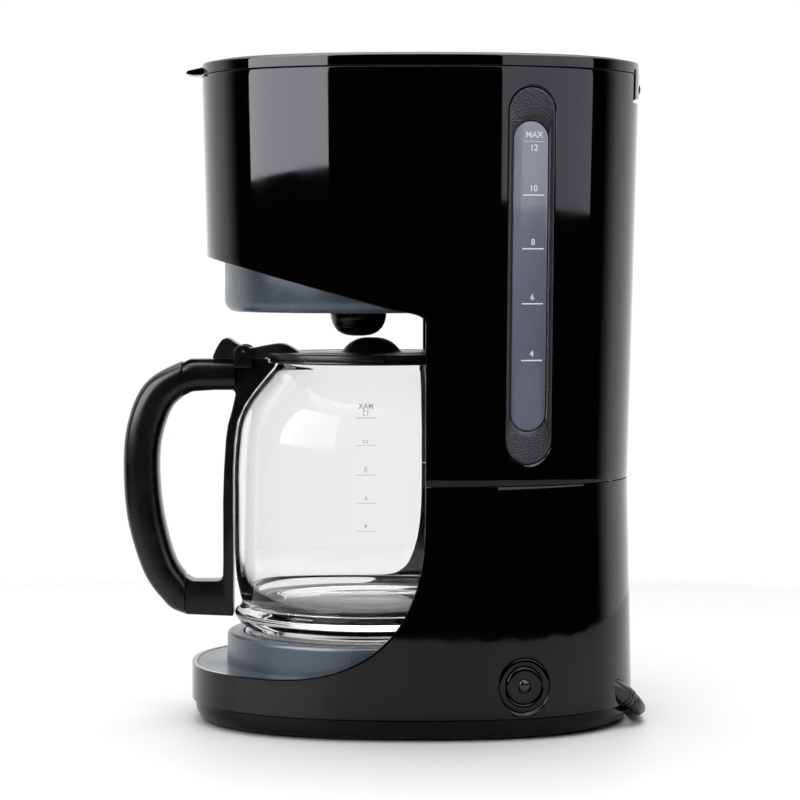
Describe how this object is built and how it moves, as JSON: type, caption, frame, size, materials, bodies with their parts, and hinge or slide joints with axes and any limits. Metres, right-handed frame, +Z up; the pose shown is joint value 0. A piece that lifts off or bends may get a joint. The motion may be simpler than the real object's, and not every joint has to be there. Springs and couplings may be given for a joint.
{
  "type": "drip coffee maker",
  "caption": "Tall oval drip coffee maker with a hinged lid, a side water gauge, a warming plate, a lit power button and a glass carafe with a looped handle.",
  "frame": {"origin": "middle of the machine's and carafe's footprint, on the table", "axes": "+Z up, carafe and its handle towards -Y, water gauge and power button on the +X side"},
  "size_m": [0.2829, 0.2655, 0.3325],
  "materials": {
    "gloss_black": "high gloss moulded",
    "satin_black": "satin moulded",
    "textured_black": "fine grained",
    "slate_grey": "satin moulded",
    "tank_plastic": "translucent moulded",
    "gauge_glazing": "smoky translucent",
    "clear_glass": "polished",
    "plate_coating": "non-stick coating",
    "aluminium": "cast",
    "steel": "plain",
    "brass": "plain",
    "nickel": "nickel plated",
    "silicone": "matt",
    "rubber": "matt",
    "clear_plastic": "clear",
    "indicator": "smoked lens",
    "wire_sheath": "insulated wire",
    "cord_black": "soft vinyl"
  },
  "bodies": {
    "machine": {"base_deck": "slate_grey", "base_screw_1": "steel", "base_screw_2": "steel", "base_screw_3": "steel", "base_screw_4": "steel", "basket_bail": "satin_black", "basket_housing": "slate_grey", "bottom_cover": "satin_black", "check_valve_body": "silicone", "cold_water_hose": "silicone", "column_panel": "slate_grey", "cord_coil": "cord_black", "cord_lead": "cord_black", "drip_stop_spring": "steel", "filter_basket": "satin_black", "gauge_frame": "textured_black", "gauge_window": "gauge_glazing", "heater_clamp": "steel", "heater_wire": "wire_sheath", "heating_element": "aluminium", "hot_plate": "plate_coating", "hot_water_hose": "silicone", "lid_hinge_pin": "steel", "lower_housing": "gloss_black", "plug": "cord_black", "plug_pin_1": "nickel", "plug_pin_2": "nickel", "power_cord": "cord_black", "riser_tube": "clear_plastic", "rubber_foot_1": "rubber", "rubber_foot_2": "rubber", "rubber_foot_3": "rubber", "rubber_foot_4": "rubber", "strain_relief": "cord_black", "switch_bezel": "gloss_black", "switch_module": "satin_black", "switch_wire": "wire_sheath", "thermal_fuse": "brass", "thermostat": "steel", "top_frame": "slate_grey", "upper_housing": "gloss_black", "water_tank": "tank_plastic"},
    "lid": {"top_lid": "gloss_black", "lid_liner": "slate_grey", "spray_head": "slate_grey"},
    "button": {"power_button": "gloss_black", "indicator_lens": "indicator"},
    "drip_stop": {"drip_stop_valve": "satin_black"},
    "valve_ball": {"check_ball": "steel"},
    "carafe": {"carafe_glass": "clear_glass", "carafe_collar": "satin_black", "carafe_lid": "satin_black", "carafe_lid_pin": "steel", "handle_strap": "satin_black", "handle_grip": "satin_black", "handle_screw": "steel"}
  },
  "joints": [
    {"name": "lid_hinge", "type": "hinge", "parent": "machine", "child": "lid", "pos_m": [0, 0.1246, 0.3185], "axis": [-1, 0, 0], "range_deg": [0, 95]},
    {"name": "carafe_slide", "type": "slide", "parent": "machine", "child": "carafe", "axis": [0, -1, 0], "range_m": [0, 0.2]},
    {"name": "drip_stop_lift", "type": "slide", "parent": "machine", "child": "drip_stop", "axis": [0, 0, 1], "range_m": [0, 0.003], "stiffness_N_per_m": 150, "springref_m": -0.002, "deforming": ["drip_stop_spring"]},
    {"name": "power_button_press", "type": "slide", "parent": "machine", "child": "button", "axis": [-0.9481, -0.3174, -0.0209], "range_m": [0, 0.0025], "stiffness_N_per_m": 400, "springref_m": -0.001},
    {"name": "check_ball_lift", "type": "slide", "parent": "machine", "child": "valve_ball", "axis": [0, 0, 1], "range_m": [0, 0.002]}
  ]
}
